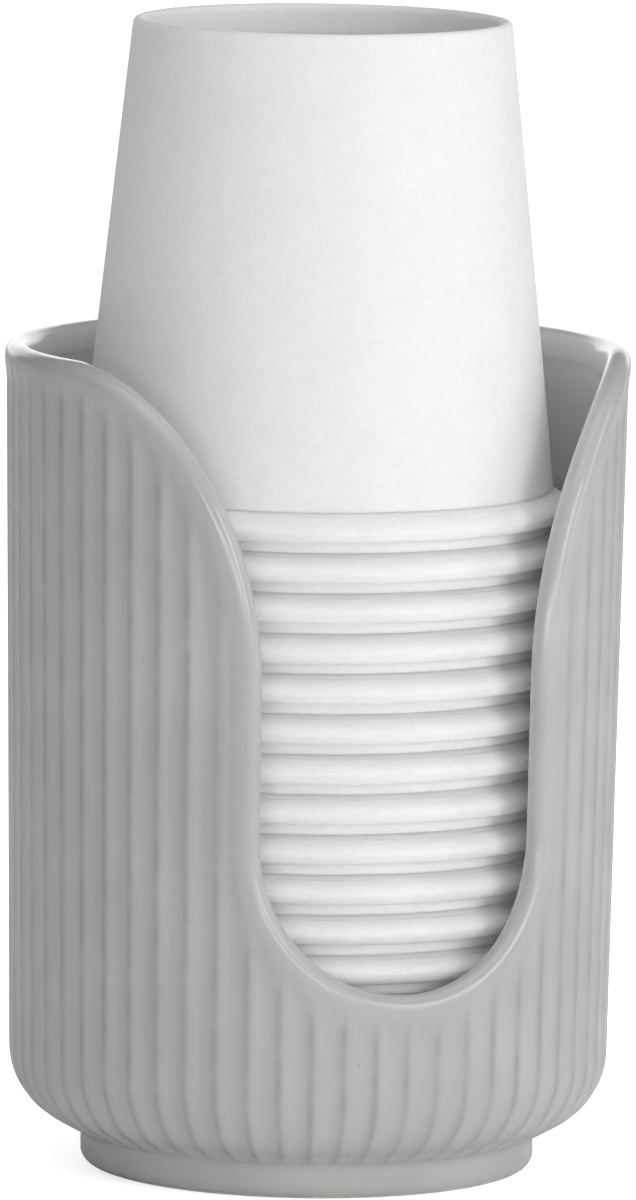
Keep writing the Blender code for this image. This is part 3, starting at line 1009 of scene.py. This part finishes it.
def base_line():
    """Middle of the base's paper, from near the axis out to the corner and up the skirt."""
    disc = CUP_HEIGHT - recess_depth - PAPER / 2
    layer = 1.5 * PAPER + SKIRT_GAP
    skirt_top = CUP_HEIGHT - PAPER - SKIRT_CLEARANCE
    corner = cup_radius(disc + BASE_CORNER, layer) - BASE_CORNER
    line = [(corner * step / DISC_STEPS, disc) for step in range(1, DISC_STEPS)]
    for step in range(FOLD_STEPS + 1):
        angle = QUARTER_TURN * step / FOLD_STEPS
        line.append((corner + BASE_CORNER * sin(angle), disc + BASE_CORNER * (1 - cos(angle))))
    for step in range(1, FOLD_STEPS + 1):
        height = disc + BASE_CORNER + (skirt_top - disc - BASE_CORNER) * step / FOLD_STEPS
        line.append((cup_radius(height, layer), height))
    return np.array(line)


def thicken(line):
    """Both faces of a strip of paper, from the line along its middle."""
    slope = np.gradient(line, axis=0)
    slope /= np.hypot(slope[:, 0], slope[:, 1])[:, None]
    across = np.stack([slope[:, 1], -slope[:, 0]], -1) * PAPER / 2
    return line + across, line - across


print("points along the base's paper:", len(base_line()))

# %% [markdown]
# ## No cup is perfect
#
# Each cup gets its own slow waves, a bead that is a little higher here and thinner there, and a seam where
# the sheet overlaps. All of it stays within the gap that the nested walls leave each other.

# %% Irregular paper
SEAM_STEP = 0.00008
SEAM_BEARING = radians(168)
SEAM_SPREAD = radians(3)
SEAM_FADE = radians(26)
WALL_WAVE = 0.00003
BEAD_WAVE = 0.00007
BEAD_REACH = 0.0075

random_source = np.random.default_rng(15)


def slow_wave(angle, phases):
    """Irregular wave round a cup, between about -1 and 1."""
    total = np.zeros(len(angle))
    for turns, phase in enumerate(phases, start=2):
        total += np.cos(turns * angle + phase) / turns
    return total


def deform(radius, height, angle, cup):
    """A cup's irregularities: new radius and height of one point of the section at every angle."""
    near_rim = 1 - smooth_step((height - ROLL_HEIGHT / 2) / BEAD_REACH)
    behind = np.mod(angle - cup["seam"], 2 * pi)
    overlap = np.where(behind < SEAM_FADE, 1 - smooth_step(behind / SEAM_FADE), 0)
    push = WALL_WAVE * slow_wave(angle, cup["wall"]) + BEAD_WAVE * near_rim * slow_wave(angle, cup["bead"])
    grown = radius + push + SEAM_STEP * overlap - BEAD_WAVE * near_rim
    lifted = height + BEAD_WAVE * near_rim * (slow_wave(angle, cup["lift"]) + 1) / 2
    return grown, lifted


def new_cup(rim):
    """Random shape of one cup."""
    phases = {key: random_source.uniform(0, 2 * pi, 4) for key in ("wall", "bead", "lift")}
    seam = SEAM_BEARING + random_source.uniform(-SEAM_SPREAD, SEAM_SPREAD)
    return dict(phases, seam=seam, rim=rim)


print("bead waves of up to", round(BEAD_WAVE * 1000, 2), "mm")

# %% [markdown]
# ## Turning a section
#
# A screw modifier would make every ring a true circle, so each ring is written point by point. The wall's
# section is closed, down one face of the paper and up the other. The base's ends near the axis, where each
# of its two faces closes in one point.

# %% Turn a section into a mesh
CUP_COLUMNS = 168
ROLLED_REACH_SHARE = 1.05


def turn_section(section, cup, closed):
    """Mesh turned from a section; an open one ends in two points on the axis."""
    angle = 2 * pi * np.arange(CUP_COLUMNS) / CUP_COLUMNS
    rings = []
    for radius, height in section:
        grown, lifted = deform(radius, height, angle, cup)
        rings.append(np.stack([grown * np.sin(angle), -grown * np.cos(angle), lifted + cup["rim"]], -1))
    points = np.concatenate(rings)
    faces = []
    pairs = list(zip(range(len(section)), range(1, len(section))))
    if closed:
        pairs.append((len(section) - 1, 0))
    for before, after in pairs:
        for column in range(CUP_COLUMNS):
            following = (column + 1) % CUP_COLUMNS
            corners = ((before, column), (before, following), (after, following), (after, column))
            faces.append([ring * CUP_COLUMNS + place for ring, place in corners])
    if not closed:
        ends = [(0, section[0]), (len(section) - 1, section[-1])]
        for ring, (radius, height) in ends:
            points = np.append(points, [[0, 0, height + cup["rim"]]], 0)
            pole = len(points) - 1
            for column in range(CUP_COLUMNS):
                following = (column + 1) % CUP_COLUMNS
                faces.append([ring * CUP_COLUMNS + column, ring * CUP_COLUMNS + following, pole])
    return points, faces


def make_mesh(name, points, faces, rim):
    """Mesh with outward faces, and values that mark the crimped fold and the rolled rim."""
    mesh = bpy.data.meshes.new(name)
    mesh.from_pydata(points.tolist(), [], faces)
    bm = bmesh.new()
    bm.from_mesh(mesh)
    crimped = bm.verts.layers.float.new("crimped")
    rolled = bm.verts.layers.float.new("rolled")
    for vert in bm.verts:
        height = vert.co.z - rim
        reach = vert.co.xy.length
        in_recess = height > CUP_HEIGHT - recess_depth - PAPER and reach < cup_radius(height, PAPER)
        vert[crimped] = float(in_recess)
        vert[rolled] = float(height < ROLL_HEIGHT * ROLLED_REACH_SHARE)
    bmesh.ops.recalc_face_normals(bm, faces=bm.faces)
    bm.to_mesh(mesh)
    bm.free()
    return mesh


wall_outer, wall_inner = thicken(wall_line())
wall_section = np.concatenate([wall_outer, wall_inner[::-1]])
base_under, base_over = thicken(base_line())
base_section = np.concatenate([base_under, base_over[::-1]])
print("section points: wall", len(wall_section), "base", len(base_section))

# %% [markdown]
# ## White paper
#
# Uncoated board is matt, bright and never flat. Its fibres clump into faint clouds, and the surface has a
# soft tooth. Inside the fold the crimping rollers leave close upright creases, so there the bump follows
# the angle round the cup. The rolled rim is drawn out as it curls, so there it has streaks that run along.

# %% Paper material
PAPER_BRIGHT = (0.866, 0.866, 0.861, 1)
PAPER_CLOUD = (0.82, 0.82, 0.815, 1)
PAPER_ROUGHNESS = 0.62
PAPER_ROUGHNESS_SPREAD = (-0.08, 0.10)
PAPER_GLOW = 0.5
PAPER_GLOW_REACH = 0.0015
# each noise: features per metre, its detail, and how strong the finest detail is
COARSE_FIBRE_NOISE = (150, 4, 0.6)
FINE_FIBRE_NOISE = (1400, 3, 0.6)
FIBRE_SPAN = (0.6, 1.4)
MATT_NOISE = (900, 3)
CREASES = 190
CREASE_STRETCH = 120
CREASE_NOISE = (1.0, 3, 0.6)
CREASE_DEPTH = 0.00012
RING_STREAKS = 9
STREAK_SCALE = 1500
STREAK_DEPTH = 0.00012
TOOTH_NOISE = (2600, 4, 0.65)
TOOTH_DEPTH = 0.000016
DENT_NOISE = (170, 2)
DENT_DEPTH = 0.00003

glow = {
    "Subsurface_Weight": PAPER_GLOW,
    "Subsurface_Scale": PAPER_GLOW_REACH,
    "Subsurface_Radius": (1, 1, 1),
}
paper, tree, shader = start_material("white_cup_board", PAPER_ROUGHNESS, **glow)
place = add_node(tree, "ShaderNodeTexCoord").outputs["Object"]
coarse_cloud = add_noise(tree, place, *COARSE_FIBRE_NOISE)
cloud = add_math(tree, "ADD", coarse_cloud, add_noise(tree, place, *FINE_FIBRE_NOISE))
tone = add_range(tree, cloud, *FIBRE_SPAN, 0, 1)
tree.links.new(add_mix(tree, tone, PAPER_CLOUD, PAPER_BRIGHT), shader.inputs["Base Color"])
matt_range = [PAPER_ROUGHNESS + change for change in PAPER_ROUGHNESS_SPREAD]
matt = add_range(tree, add_noise(tree, place, *MATT_NOISE), *NOISE_SPAN, *matt_range)
tree.links.new(matt, shader.inputs["Roughness"])
axes = add_node(tree, "ShaderNodeSeparateXYZ", Vector=place).outputs
bearing = add_math(tree, "ARCTAN2", axes["X"], axes["Y"])
sweep = add_math(tree, "MULTIPLY", bearing, CREASES / (2 * pi))
lengthwise = add_math(tree, "MULTIPLY", axes["Z"], CREASE_STRETCH)
sheet_place = add_node(tree, "ShaderNodeCombineXYZ", X=sweep, Y=lengthwise).outputs["Vector"]
creases = add_noise(tree, sheet_place, *CREASE_NOISE)
marked = add_node(tree, "ShaderNodeAttribute", {"attribute_name": "crimped"}).outputs["Fac"]
pressed = add_math(tree, "MULTIPLY", creases, marked)
ring_sweep = add_math(tree, "MULTIPLY", bearing, RING_STREAKS)
across = add_math(tree, "MULTIPLY", axes["Z"], STREAK_SCALE)
streak_place = add_node(tree, "ShaderNodeCombineXYZ", X=ring_sweep, Y=across).outputs["Vector"]
rolled = add_node(tree, "ShaderNodeAttribute", {"attribute_name": "rolled"}).outputs["Fac"]
streaks = add_math(tree, "MULTIPLY", add_noise(tree, streak_place, *CREASE_NOISE), rolled)
tooth = add_noise(tree, place, *TOOTH_NOISE)
dents = add_noise(tree, place, *DENT_NOISE)
relief = [(dents, DENT_DEPTH), (streaks, STREAK_DEPTH), (tooth, TOOTH_DEPTH), (pressed, CREASE_DEPTH)]
add_bump(tree, shader, relief)
print("paper nodes:", len(tree.nodes))

# %% [markdown]
# ## Fifteen cups
#
# A cup's wall and base are glued together, so both ride on the same body, and each cup is a body of its own
# because it lifts off the one below. All cups share two sections and one material; only their small
# irregularities differ.

# %% Put every cup on its body
for name, rim in zip(cup_names, rim_heights):
    cup = new_cup(rim)
    for part, section, closed in (("wall", wall_section, True), ("base", base_section, False)):
        points, faces = turn_section(section, cup, closed)
        title = f"{name}_paper_{part}"
        piece = link_piece(title, make_mesh(title, points, faces, rim), paper)
        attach(piece, name)
        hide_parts(f"{name}_{part}")
print("cups dressed:", len(cup_names))
